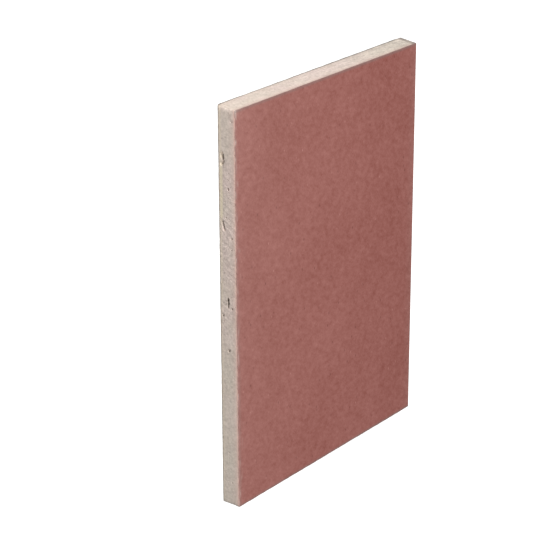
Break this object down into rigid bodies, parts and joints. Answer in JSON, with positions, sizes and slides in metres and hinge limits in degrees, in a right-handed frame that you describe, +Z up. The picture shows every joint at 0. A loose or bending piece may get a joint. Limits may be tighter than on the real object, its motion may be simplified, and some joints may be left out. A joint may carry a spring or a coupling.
{
  "type": "drywall sheet",
  "caption": "Flat rectangular gypsum board sample with a pink paper face, one folded factory edge and cut sides that show the pale core.",
  "frame": {"origin": "under the middle of the sheet, on the plane of its back that it lies on", "axes": "+X across the sheet towards the folded factory edge, +Y along the sheet, +Z up out of the face"},
  "size_m": [0.21, 0.297, 0.015],
  "materials": {
    "gypsum": "foamed gypsum, sawn, matt and slightly dusty",
    "face_paper": "dyed multi-ply liner paper, dusty pink, matt with fine fibres",
    "back_paper": "recycled grey-brown liner paper, matt with coarse fibres"
  },
  "bodies": {
    "root": {"gypsum_core": "gypsum", "face_paper": "face_paper", "back_paper": "back_paper"}
  },
  "joints": []
}
